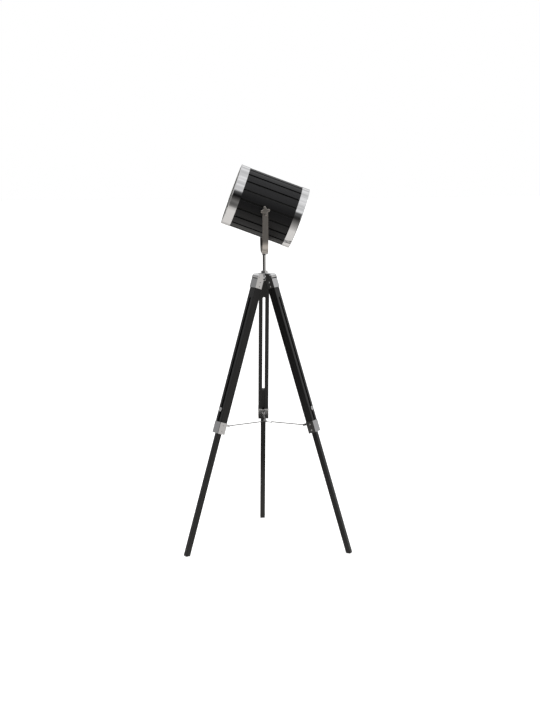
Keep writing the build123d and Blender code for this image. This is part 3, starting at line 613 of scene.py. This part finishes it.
# ------------------------------------------------------------------ sub-assemblies
@dataclass
class Studio:
    """Floor, lights, surroundings and camera.

    Attributes:
        axis: A point on the tripod's axis.
        distance, bearing, height, pitch, aside, roll, lens: Where the camera stands and how it looks.
        floor_half: Half the floor's width.
        floor_glow: Light that the seen floor gives.
        floor_near, floor_tint: Strength and colour of the floor that the metal shows, near the lamp.
        bright_radius, falloff: How far that brightness reaches, and how fast it fades.
        floor_far: The mirrored floor's level far off, by bearing. It is dark on the dark side.
        dark_sector, sector_start: Faster fading towards the dark side, by bearing and by distance.
        shade_spot, spot_shade: Middle of a painted shade on the mirrored floor, and its edge. This dark patch
            under and in front of the lamp stands for its shade, and only the metal shows it.
        ceiling, wall: Level of the mirrored ceiling by height, and of the walls by bearing.
        streaks, streak_scale: Level of the streaks over both, and their noise's scale.
        dark_side: Which way the dark side lies.
        aim_height: Height that the lights point at.
    """

    axis: Vector
    distance: float = 5.0
    bearing: float = math.radians(2.37)
    height: float = 1.460
    pitch: float = math.radians(8.63)
    aside: float = math.radians(0.217)
    roll: float = math.radians(-0.37)
    lens: float = 67.45
    floor_half: float = 40.0
    floor_glow: float = 0.62
    floor_near: float = 0.78
    floor_tint: tuple[float, float, float, float] = (1.0, 0.97, 0.93, 1)
    bright_radius: float = 1.15
    falloff: float = 1.2
    floor_far: Ramp = Ramp(0.2, 0.6, 0.55, 0.03)
    dark_sector: Ramp = Ramp(0.75, 0.95, 0.0, 5.0)
    sector_start: Ramp = Ramp(1.6, 2.4, 0.0, 1.0)
    shade_spot: tuple[float, float, float] = (0.02, -0.2, 0.0)
    spot_shade: Ramp = Ramp(0.165, 0.175, 0.03, 1.0)
    ceiling: Ramp = Ramp(0.25, 0.37, 0.008, 0.9)
    wall: Ramp = Ramp(0.1, 0.62, 0.57, 0.008)
    streaks: Ramp = Ramp(0.4, 0.6, 0.7, 1.0)
    streak_scale: float = 5.0
    dark_side: tuple[float, float, float] = (-0.75, -0.66, 0.0)
    aim_height: float = 0.9

    def build(self) -> None:
        """Make everything that isn't the lamp."""
        self.camera()
        self.floor()
        self.lights()
        self.surroundings()

    def camera(self) -> None:
        """Place the camera."""
        data = bpy.data.cameras.new("camera")
        data.lens = self.lens
        data.clip_end = 200.0
        camera = bpy.data.objects.new("camera", data)
        back = Vector((-math.sin(self.bearing), -math.cos(self.bearing), 0)) * self.distance
        place = Matrix.Translation(Vector((self.axis.x, self.axis.y, self.height)) + back)
        yaw = Matrix.Rotation(-(self.bearing + self.aside), 4, "Z")
        tilt = Matrix.Rotation(math.pi / 2 - self.pitch, 4, "X")
        camera.matrix_world = place @ yaw @ tilt @ Matrix.Rotation(self.roll, 4, "Z")
        bpy.context.scene.collection.objects.link(camera)
        bpy.context.scene.camera = camera

    def floor(self) -> None:
        """Lay a plain pale floor."""
        mesh = bpy.data.meshes.new("floor")
        half = self.floor_half
        corners = [(-half, -half, 0), (half, -half, 0), (half, half, 0), (-half, half, 0)]
        mesh.from_pydata(corners, [], [(0, 1, 2, 3)])
        floor = bpy.data.objects.new("floor", mesh)
        bpy.context.scene.collection.objects.link(floor)
        dress(floor, self.floor_finish())

    def floor_finish(self) -> bpy.types.Material:
        """Pale floor that shows soft shadows, and lights the metal like a grey studio floor.

        Returns:
            The material.
        """
        shader = Shader("floor").set(Base_Color=(0.9, 0.9, 0.9, 1), Roughness=0.9, Specular_IOR_Level=0.0)
        shader.set(Emission_Color=WHITE, Emission_Strength=self.floor_glow)
        place = shader.add("TexCoord").outputs["Object"]
        away = shader.measure("LENGTH", place)
        bearing = shader.add("VectorMath", {0: place}, operation="NORMALIZE").outputs["Vector"]
        side = shader.measure("DOT_PRODUCT", bearing, self.dark_side)
        sector = shader.ramp(side, *self.dark_sector)
        dimmed = shader.math("MULTIPLY", sector, shader.ramp(away, *self.sector_start))
        fade = shader.math("MULTIPLY", away, shader.math("ADD", dimmed, 1.0))
        share = shader.math("DIVIDE", self.bright_radius, fade, use_clamp=True)
        near = shader.math("MULTIPLY", shader.math("POWER", share, self.falloff), self.floor_near)
        lit = shader.math("MAXIMUM", shader.ramp(side, *self.floor_far), near)
        # painted shade: a dark disc in the mirrored floor's glow, standing for shade under the lamp, seen
        # only in the metal's reflections
        spot = shader.measure("DISTANCE", place, self.shade_spot)
        total = shader.math("MULTIPLY", lit, shader.ramp(spot, *self.spot_shade))
        glow = shader.add("Emission", {"Color": self.floor_tint, "Strength": total})
        shader.split_view(glow.outputs[0], shader.surface.outputs[0], "Material Output")
        return shader.material

    def lights(self) -> None:
        """Hang soft lights over and beside the lamp."""
        rigs = (
            ("key", (3.4, -2.2, 2.6), 1.6, 22.0),
            ("top", (0.2, 0.2, 4.0), 2.4, 26.0),
        )
        target = Vector((self.axis.x, self.axis.y, self.aim_height))
        for name, offset, size, power in rigs:
            data = bpy.data.lights.new(name, "AREA")
            data.shape = "DISK"
            data.size = size
            data.energy = power
            light = bpy.data.objects.new(name, data)
            light.location = Vector((self.axis.x, self.axis.y, 0)) + Vector(offset)
            aim = (target - light.location).to_track_quat("-Z", "Y")
            light.rotation_euler = aim.to_euler()
            light.visible_glossy = False
            bpy.context.scene.collection.objects.link(light)

    def surroundings(self) -> None:
        """White surroundings with a dark side to the front left, which polished metal shows."""
        world = bpy.data.worlds.new("studio")
        world.use_nodes = True
        sky = Shading(world.node_tree)
        look = sky.add("TexCoord").outputs["Generated"]
        overhead = sky.ramp(sky.measure("DOT_PRODUCT", look, (0, 0, 1)), *self.ceiling)
        around = sky.ramp(sky.measure("DOT_PRODUCT", look, self.dark_side), *self.wall)
        cloud = sky.noise(look, self.streak_scale, detail=2.0, rough=0.5)
        bright = sky.math("MAXIMUM", overhead, around)
        mirrored = sky.tree.nodes["Background"]
        mirrored.inputs["Color"].default_value = WHITE
        level = sky.math("MULTIPLY", bright, sky.ramp(cloud, *self.streaks))
        sky.tree.links.new(level, mirrored.inputs["Strength"])
        seen = sky.add("Background", {"Color": WHITE})
        sky.split_view(mirrored.outputs[0], seen.outputs[0], "World Output")
        bpy.context.scene.world = world
        bpy.context.scene.view_settings.view_transform = "Standard"


@dataclass
class Dresser:
    """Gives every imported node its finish."""

    nodes: dict[str, bpy.types.Object]
    legs: dict[Side, LegFrame]
    drum: DrumFrame

    def build(self) -> dict[str, bpy.types.Material]:
        """Dress the nodes, group by group.

        Returns:
            The finishes that new pieces share.
        """
        chrome = Plating("polished_chrome").build()
        plated = Plating("screw_plating", (0.62, 0.62, 0.62), 0.12, 0.22).build()
        zinc = Plating("rod_plating", (0.2, 0.195, 0.19), 0.22, 0.32).build()
        metal = Plating("bulb_metal", (0.72, 0.72, 0.70), 0.2, 0.32).build()
        glass = FrostedGlass("bulb_glass").build()
        rubber = Moulded("pad_rubber", (0.018, 0.018, 0.018), 0.7).build()
        rows = {
            chrome: ("hub", "collar", "stem_rod", "stem_nut", "yoke_nut", "pan_bolt", "front_ring",
                     "rear_ring", "spreader_button", "nipple_nut"),
            plated: ("pivot_nuts", "pivot_washers", "pivot_bolts"),
            rubber: ("cord_grommet",),
            BrushedNickel("yoke_nickel", (900.0, 9.0, 9.0)).build(): ("yoke",),
            BrushedNickel("knob_nickel", (240.0, 40.0, 240.0)).build(): ("star_knob_front", "star_knob_back"),
            SlatLacquer("slat_lacquer", self.drum.turn()).build(): ("slats",),
            self.shell().build(): ("drum_shell",),
            SprayedPaint("back_paint", (0.012, 0.012, 0.012)).build(): ("back_plate",),
            Moulded("holder_plastic", (0.03, 0.03, 0.03), 0.45).build(): ("lampholder",),
            metal: ("bulb_cap",),
            glass: ("bulb_glass",),
        }
        for side, leg in self.legs.items():
            wood = StainedWood(f"black_wood_{side}", leg.turn()).build()
            rows[wood] = (f"upper_leg_{side}", f"lower_leg_{side}")
            for node in ("leg_cap", "hinge_bolt", "ferrule", "spreader_bracket", "spreader_pin",
                         "thumb_screw"):
                dress(self.nodes[f"{node}_{side}"], chrome)
            dress(self.nodes[f"spreader_arm_{side}"], zinc)
            for node in ("cap_screws", "ferrule_screws"):
                dress(self.nodes[f"{node}_{side}"], plated)
            dress(self.nodes[f"foot_pad_{side}"], rubber)
        for material, names in rows.items():
            for name in names:
                dress(self.nodes[name], material)
        LOG.info("dressed %d nodes", len(self.nodes))
        return {"chrome": chrome, "plated": plated, "metal": metal, "glass": glass}

    def shell(self) -> ShellPaint:
        """Finish of the drum's shell, with its change of colour at the middle of the wall.

        Returns:
            The finish, not yet built.
        """
        shell = self.nodes["drum_shell"]
        radii = [self.drum.radius(vertex.co) for vertex in shell.data.vertices]
        wall = (min(radii) + max(radii)) / 2
        return ShellPaint("shell_paint", self.drum.turn(), self.drum.middle, wall)


@dataclass(frozen=True)
class Span:
    """How far a node reaches along an axis, and how wide it is round it."""

    low: float
    high: float
    radius: float

    @classmethod
    def read(cls, node: bpy.types.Object, origin: Vector, axis: Vector) -> "Span":
        """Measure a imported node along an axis.

        Args:
            node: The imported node.
            origin: A point on the axis.
            axis: Unit vector.

        Returns:
            The span, from the origin.
        """
        offsets = [vertex.co - origin for vertex in node.data.vertices]
        along = [offset.dot(axis) for offset in offsets]
        radii = [offset.cross(axis).length for offset in offsets]
        return cls(min(along), max(along), max(radii))


def stand_on(origin: Vector, axis: Vector) -> Matrix:
    """Place whose Z runs along an axis.

    Args:
        origin: The place's origin.
        axis: Its Z direction.

    Returns:
        The placing matrix.
    """
    return Matrix.Translation(origin) @ axis.to_track_quat("Z", "Y").to_matrix().to_4x4()


def turned(name: str, profile: list[tuple[float, float]], place: Matrix, segments: int = 96,
           flutes: int = 0, flute_depth: float = 0.0, fluted: range = range(0)) -> bpy.types.Object:
    """Make a closed turned piece from its profile.

    Args:
        name: The new object's name.
        profile: Radius and height of each ring, bottom to top. The ends close to the axis.
        place: Where the piece's own axis stands.
        segments: Points round each ring.
        flutes: Scallops round the fluted rings.
        flute_depth: Depth of each scallop.
        fluted: Indices of the rings that are scalloped.

    Returns:
        The new object, with its place in its mesh.
    """
    points, faces = [], []
    for index, (radius, height) in enumerate(profile):
        for step in range(segments):
            angle = math.tau * step / segments
            reach = radius
            if index in fluted:
                reach -= flute_depth * (0.5 - 0.5 * math.cos(flutes * angle)) ** 2
            points.append(place @ Vector((reach * math.cos(angle), reach * math.sin(angle), height)))
    for ring in range(len(profile) - 1):
        for step in range(segments):
            follow = (step + 1) % segments
            base, top = ring * segments, (ring + 1) * segments
            faces.append((base + step, base + follow, top + follow, top + step))
    last = (len(profile) - 1) * segments
    for start, height, flip in ((0, profile[0][1], True), (last, profile[-1][1], False)):
        pole = len(points)
        points.append(place @ Vector((0, 0, height)))
        for step in range(segments):
            edge = (start + step, start + (step + 1) % segments)
            faces.append((*(reversed(edge) if flip else edge), pole))
    mesh = bpy.data.meshes.new(name)
    mesh.from_pydata(points, [], faces)
    return finish_piece(name, mesh)


def finish_piece(name: str, mesh: bpy.types.Mesh, crease: float = math.radians(35)) -> bpy.types.Object:
    """Turn a mesh into a smooth-shaded object with crisp creases.

    Args:
        name: The object's name.
        mesh: Its mesh.
        crease: Edges sharper than this angle stay sharp.

    Returns:
        The linked object.
    """
    mesh.polygons.foreach_set("use_smooth", [True] * len(mesh.polygons))
    mesh.set_sharp_from_angle(angle=crease)
    piece = bpy.data.objects.new(name, mesh)
    bpy.context.scene.collection.objects.link(piece)
    return piece


def rounded(radius: float, low: float, high: float, edge: float, steps: int = 6) -> list[tuple[float, float]]:
    """Profile of a disc whose two rims are rounded.

    Args:
        radius: Outer radius.
        low: Height of the bottom face.
        high: Height of the top face.
        edge: Radius of each rounded rim.
        steps: Points round each rim.

    Returns:
        The rings, bottom to top.
    """
    rings = []
    for centre, start in ((low + edge, -90.0), (high - edge, 0.0)):
        for step in range(steps + 1):
            angle = math.radians(start + 90.0 * step / steps)
            rings.append((radius - edge + edge * math.cos(angle), centre + edge * math.sin(angle)))
    return rings


class Growth:
    """A geometry node tree with named inputs, built in short calls."""

    def __init__(self, name: str, sizes: dict[str, float]) -> None:
        """Start a tree that takes points, a material and named sizes.

        Args:
            name: The tree's name.
            sizes: Value of each named size input.
        """
        self.sizes = sizes
        self.tree = bpy.data.node_groups.new(name, "GeometryNodeTree")
        face = self.tree.interface
        face.new_socket("Geometry", in_out="INPUT", socket_type="NodeSocketGeometry")
        face.new_socket("Finish", in_out="INPUT", socket_type="NodeSocketMaterial")
        for size in sizes:
            face.new_socket(size, in_out="INPUT", socket_type="NodeSocketFloat")
        face.new_socket("Geometry", in_out="OUTPUT", socket_type="NodeSocketGeometry")
        self.given = self.tree.nodes.new("NodeGroupInput").outputs

    def add(self, kind: str, values: dict[str | int, object] | None = None,
            **options: object) -> bpy.types.Node:
        """Add a node.

        Args:
            kind: The node's full type name.
            values: Values or linked sockets by input name or index.
            options: The node's own properties.

        Returns:
            The new node.
        """
        return add_node(self.tree, kind, values, options)

    def math(self, operation: str, first: object, second: object = 0.0) -> bpy.types.NodeSocket:
        """Work out one number from two."""
        return self.add("ShaderNodeMath", {0: first, 1: second}, operation=operation).outputs[0]

    def vector(self, x: object = 0.0, y: object = 0.0, z: object = 0.0) -> bpy.types.NodeSocket:
        """Join three numbers into a vector."""
        return self.add("ShaderNodeCombineXYZ", {"X": x, "Y": y, "Z": z}).outputs[0]

    def end(self, shape: bpy.types.NodeSocket) -> None:
        """Realize the instances, set the finish and end the tree.

        Args:
            shape: Geometry with the instances.
        """
        real = self.add("GeometryNodeRealizeInstances", {"Geometry": shape}).outputs[0]
        dressed = self.add("GeometryNodeSetMaterial", {"Geometry": real, "Material": self.given["Finish"]})
        output = self.tree.nodes.new("NodeGroupOutput")
        self.tree.links.new(dressed.outputs[0], output.inputs["Geometry"])

    def grow(self, name: str, points: list[Vector], looks: list[Vector],
             finish: bpy.types.Material) -> bpy.types.Object:
        """Run the tree on points and bake the result to a plain mesh.

        Args:
            name: The new object's name.
            points: Where each instance stands.
            looks: Where each instance's Z points.
            finish: The material set by the tree.

        Returns:
            The baked object, with no modifier.
        """
        seeds = bpy.data.meshes.new(name)
        seeds.from_pydata(points, [], [])
        attribute = seeds.attributes.new("look", "FLOAT_VECTOR", "POINT")
        for item, look in zip(attribute.data, looks):
            item.vector = look
        carrier = bpy.data.objects.new(name, seeds)
        bpy.context.scene.collection.objects.link(carrier)
        modifier = carrier.modifiers.new("grow", "NODES")
        modifier.node_group = self.tree
        values = dict(self.sizes, Finish=finish)
        for item in self.tree.interface.items_tree:
            if item.in_out == "INPUT" and item.name in values:
                modifier[item.identifier] = values[item.name]
        evaluated = carrier.evaluated_get(bpy.context.evaluated_depsgraph_get())
        mesh = bpy.data.meshes.new_from_object(evaluated)
        bpy.data.objects.remove(carrier)
        return finish_piece(name, mesh)


@dataclass
class WoodScrews:
    """Small cross-headed screws on a leg's cap and ferrule.

    Attributes:
        head_spread: Points closer than this belong to one head.
        rim_reach: How far inside the outermost faces a point still belongs to a head's rim.
    """

    head_height: float = 1.3 * MM
    head_spread: float = 8.0 * MM
    shank_radius: float = 1.5 * MM
    shank_length: float = 5.0 * MM
    recess_width: float = 0.55 * MM
    recess_length: float = 3.1 * MM
    recess_depth: float = 0.75 * MM
    rim_reach: float = 0.1 * MM
    seed: int = 11

    def tree(self, radius: float) -> Growth:
        """Tree that puts a screw on each point, its head along the look attribute.

        Args:
            radius: Radius of the head.

        Returns:
            The finished tree.
        """
        sizes = {"Head Radius": radius, "Head Height": self.head_height, "Shank Radius": self.shank_radius,
                 "Shank Length": self.shank_length, "Recess Width": self.recess_width,
                 "Recess Length": self.recess_length, "Recess Depth": self.recess_depth}
        growth = Growth("wood_screws", sizes)
        given = growth.given
        ball = growth.add("GeometryNodeMeshUVSphere",
                          {"Segments": 28, "Rings": 14, "Radius": given["Head Radius"]})
        squash = growth.vector(1.0, 1.0, growth.math("DIVIDE", given["Head Height"], given["Head Radius"]))
        dome = growth.add("GeometryNodeTransform", {"Geometry": ball.outputs["Mesh"], "Scale": squash})
        cross = growth.add("GeometryNodeMeshBoolean", operation="UNION", solver="MANIFOLD")
        for turn in (0.0, math.pi / 2):
            size = growth.vector(given["Recess Length"], given["Recess Width"],
                                 growth.math("MULTIPLY", given["Recess Depth"], 2.0))
            bar = growth.add("GeometryNodeMeshCube", {"Size": size})
            values = {"Geometry": bar.outputs["Mesh"], "Rotation": (0, 0, turn),
                      "Translation": growth.vector(z=given["Head Height"])}
            placed = growth.add("GeometryNodeTransform", values)
            growth.tree.links.new(placed.outputs[0], cross.inputs["Mesh 2"])
        width = growth.math("MULTIPLY", given["Head Radius"], 3.0)
        block = growth.add("GeometryNodeMeshCube", {"Size": growth.vector(width, width, width)})
        below = growth.vector(z=growth.math("MULTIPLY", width, -0.5))
        base = growth.add("GeometryNodeTransform", {"Geometry": block.outputs["Mesh"], "Translation": below})
        head = dome
        for cutter in (base, cross):
            cut = growth.add("GeometryNodeMeshBoolean", operation="DIFFERENCE", solver="MANIFOLD")
            growth.tree.links.new(head.outputs[0], cut.inputs["Mesh 1"])
            growth.tree.links.new(cutter.outputs[0], cut.inputs["Mesh 2"])
            head = cut
        rod = growth.add("GeometryNodeMeshCylinder", {"Vertices": 16, "Radius": given["Shank Radius"],
                                                      "Depth": given["Shank Length"]})
        sunk = growth.math("MULTIPLY", given["Shank Length"], -0.5)
        shank = growth.add("GeometryNodeTransform", {"Geometry": rod.outputs["Mesh"],
                                                     "Translation": growth.vector(z=sunk)})
        screw = growth.add("GeometryNodeJoinGeometry")
        for part in (shank.outputs[0], head.outputs[0]):
            growth.tree.links.new(part, screw.inputs[0])
        look = growth.add("GeometryNodeInputNamedAttribute", {"Name": "look"}, data_type="FLOAT_VECTOR")
        facing = growth.add("FunctionNodeAlignRotationToVector",
                            {"Vector": look.outputs["Attribute"]}, axis="Z")
        spin = growth.add("FunctionNodeRandomValue", {"Max": math.pi, "Seed": self.seed}, data_type="FLOAT")
        twist = growth.add("FunctionNodeEulerToRotation", {0: growth.vector(z=spin.outputs[1])})
        turns = {"Rotation": facing.outputs[0], "Rotate By": twist.outputs[0]}
        turn = growth.add("FunctionNodeRotateRotation", turns, rotation_space="LOCAL")
        values = {"Points": given["Geometry"], "Instance": screw.outputs[0], "Rotation": turn.outputs[0]}
        growth.end(growth.add("GeometryNodeInstanceOnPoints", values).outputs[0])
        return growth

    def build(self, leg: LegFrame, nodes: dict[str, bpy.types.Object], finish: bpy.types.Material) -> None:
        """Stand a leg's screws where its packed screws are.

        Args:
            leg: The leg's frame.
            nodes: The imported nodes.
            finish: The screws' material.
        """
        for kind in ("cap_screws", "ferrule_screws"):
            node = nodes[f"{kind}_{leg.side}"]
            seats, looks, radius = self.seats(node, leg)
            piece = self.tree(radius).grow(f"{kind}_cross_head_{leg.side}", seats, looks, finish)
            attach(piece, f"leg_{leg.side}")
            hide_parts(node.name)
            LOG.info("%s: %d screws", piece.name, len(seats))

    def seats(self, node: bpy.types.Object, leg: LegFrame) -> tuple[list[Vector], list[Vector], float]:
        """Find where each packed screw's head sits on its sheet.

        Args:
            node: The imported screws.
            leg: The leg's frame.

        Returns:
            The seats, the ways that the heads look, and the heads' radius.
        """
        points = [vertex.co.copy() for vertex in node.data.vertices]
        middle = sum(points, Vector()) / len(points)
        sides = [(point - middle).dot(leg.across) for point in points]
        furthest = max(sides)
        rims: list[list[Vector]] = []
        for point, side in zip(points, sides):
            if abs(side) < furthest - self.rim_reach:
                continue
            group = next((rim for rim in rims if (rim[0] - point).length < self.head_spread), None)
            if group is None:
                rims.append([point])
            else:
                group.append(point)
        seats, looks, radius = [], [], 0.0
        for rim in rims:
            low = Vector(min(point[axis] for point in rim) for axis in range(3))
            high = Vector(max(point[axis] for point in rim) for axis in range(3))
            centre = (low + high) / 2
            look = leg.across * (1 if (centre - middle).dot(leg.across) > 0 else -1)
            seats.append(centre - look * self.head_height)
            looks.append(look)
            radius = max(radius, max((point - centre).length for point in rim))
        return seats, looks, radius


@dataclass
class ThumbScrew:
    """Scalloped lock knob with its bolt.

    Attributes:
        dish: Depth of the hollow in the knob's face.
        dish_rim, dish_floor, dish_middle: Radii of the hollow's rings, as shares of the knob's radius.
    """

    height: float = 5.0 * MM
    bolt_radius: float = 2.9 * MM
    edge: float = 1.1 * MM
    dish: float = 0.7 * MM
    dish_rim: float = 0.62
    dish_floor: float = 0.55
    dish_middle: float = 0.2
    scallops: int = 18
    scallop_depth: float = 0.55 * MM
    segments: int = 144

    def build(self, leg: LegFrame, node: bpy.types.Object, joint: dict, finish: bpy.types.Material) -> None:
        """Build one leg's thumb screw on its joint's axis.

        Args:
            leg: The leg's frame.
            node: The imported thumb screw.
            joint: The joint that it turns on.
            finish: Its material.
        """
        origin = Vector(joint["pos_m"])
        span = Span.read(node, origin, leg.face)
        seat = span.high - self.height
        knob = rounded(span.radius, seat, span.high, self.edge)
        sunk = span.high - self.dish
        dish = [(span.radius * self.dish_rim, span.high), (span.radius * self.dish_floor, sunk),
                (span.radius * self.dish_middle, sunk)]
        bolt = [(self.bolt_radius, span.low), (self.bolt_radius, seat)]
        fluted = range(len(bolt), len(bolt) + len(knob))
        piece = turned(f"thumb_knob_{leg.side}", bolt + knob + dish, stand_on(origin, leg.face),
                       self.segments, self.scallops, self.scallop_depth, fluted)
        dress(piece, finish)
        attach(piece, f"thumb_{leg.side}")
        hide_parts(node.name)
        LOG.info("%s: %d scallops", piece.name, self.scallops)


@dataclass
class Bulb:
    """Bulb with a pear-shaped glass and a threaded cap, on the drum's axis.

    Attributes:
        contact_radius, contact_edge: Radius of the tip's contact, and height of its sloped edge.
        contact_height: Height of the contact and the cone under the skirt.
        cone_share, skirt_share: Radii at the cone's top and the skirt's foot, as shares of the cap's.
        plain: Height of the plain bands below and above the skirt's foot.
        collar: Height of the plain collar over the thread.
        play: Small step that keeps the cap and the glass from sharing a surface.
        crown_angles: Angles of the last rings round the ball, from its middle.
    """

    glass_radius: float = 30.0 * MM
    neck_radius: float = 12.3 * MM
    thread_pitch: float = 3.6 * MM
    thread_depth: float = 0.8 * MM
    thread_count: int = 5
    thread_steps: int = 8
    contact_radius: float = 5.5 * MM
    contact_edge: float = 1.5 * MM
    contact_height: float = 8.0 * MM
    cone_share: float = 0.78
    skirt_share: float = 0.9
    plain: float = 2.0 * MM
    collar: float = 2.5 * MM
    play: float = 0.1 * MM
    crown_angles: tuple[int, ...] = (60, 70, 78, 85)

    def build(self, drum: DrumFrame, nodes: dict[str, bpy.types.Object], metal: bpy.types.Material,
              glass: bpy.types.Material) -> None:
        """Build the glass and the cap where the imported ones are.

        Args:
            drum: The drum's frame.
            nodes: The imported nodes.
            metal: Finish of the cap.
            glass: Finish of the glass.
        """
        place = stand_on(drum.middle, drum.mouth)
        cap = Span.read(nodes["bulb_cap"], drum.middle, drum.mouth)
        skirt = cap.low + self.contact_height
        profile = [(self.contact_radius / 2, cap.low), (self.contact_radius, cap.low + self.contact_edge),
                   (cap.radius * self.cone_share, skirt - self.plain), (cap.radius * self.skirt_share, skirt)]
        steps = self.thread_steps * self.thread_count
        thread_start = skirt + self.plain
        for step in range(steps + 1):
            wave = 0.5 - 0.5 * math.cos(math.tau * step * self.thread_count / steps)
            height = thread_start + self.thread_pitch * self.thread_count * step / steps
            profile.append((cap.radius - self.thread_depth * (1 - wave), height))
        collar = cap.radius - self.play
        profile += [(collar, cap.high - self.collar), (collar, cap.high)]
        socket = turned("bulb_screw_cap", profile, place, 64)
        dress(socket, metal)
        span = Span.read(nodes["bulb_glass"], drum.middle, drum.mouth)
        globe = turned("bulb_globe", self.pear(cap.high, span.high), place, 96)
        dress(globe, glass)
        for piece, node, slot in ((socket, "bulb_cap", "bulb_metal"), (globe, "bulb_glass", "bulb_glass")):
            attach(piece, "head")
            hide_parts(node)
            LOG.info("%s built", piece.name)

    def pear(self, start: float, tip: float, steps: int = 40) -> list[tuple[float, float]]:
        """Profile of the glass: a ball that narrows smoothly to the neck.

        Args:
            start: Height of the cap's edge.
            tip: Height of the glass's crown.
            steps: Points along the profile.

        Returns:
            Radius and height of each ring, from the neck to the crown.
        """
        ball = tip - self.glass_radius
        rings = [(self.neck_radius, start + self.play)]
        for step in range(1, steps + 1):
            share = step / steps
            height = start + (tip - start) * share
            if height < ball:
                blend = (height - start) / (ball - start)
                ease = blend * blend * (3 - 2 * blend)
                rings.append((self.neck_radius + (self.glass_radius - self.neck_radius) * ease, height))
            elif height < tip - self.play / 2:
                reach = math.sqrt(self.glass_radius**2 - (height - ball) ** 2)
                rings.append((reach, height))
        for angle in self.crown_angles:
            turn = math.radians(angle)
            point = (self.glass_radius * math.cos(turn), ball + self.glass_radius * math.sin(turn))
            rings.append(point)
        return sorted(rings, key=lambda ring: ring[1])


def corners(bounds: tuple[Vector, Vector]) -> list[list[float]]:
    """A box as plain lists of numbers.

    Args:
        bounds: Lowest and highest corners.

    Returns:
        The same two corners as lists.
    """
    return [list(map(float, corner)) for corner in bounds]


def main() -> None:
    """Load the frame, dress it, and build the studio."""
    logging.basicConfig(level=logging.INFO, format="%(name)s: %(message)s")
    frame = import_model()
    joints = {joint["name"]: joint for joint in frame["joints"]}
    low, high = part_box("stem_rod")
    axis = (low + high) / 2
    Studio(axis).build()
    legs = {side: LegFrame.read(side, joints) for side in Side}
    drum = DrumFrame.read(frame["nodes"])
    nodes = frame["nodes"]
    finishes = Dresser(nodes, legs, drum).build()
    for side, leg in legs.items():
        WoodScrews().build(leg, nodes, finishes["plated"])
        joint = joints[f"thumb_turn_{side}"]
        ThumbScrew().build(leg, nodes[f"thumb_screw_{side}"], joint, finishes["chrome"])
    Bulb().build(drum, nodes, finishes["metal"], finishes["glass"])


if __name__ == "__main__":
    main()
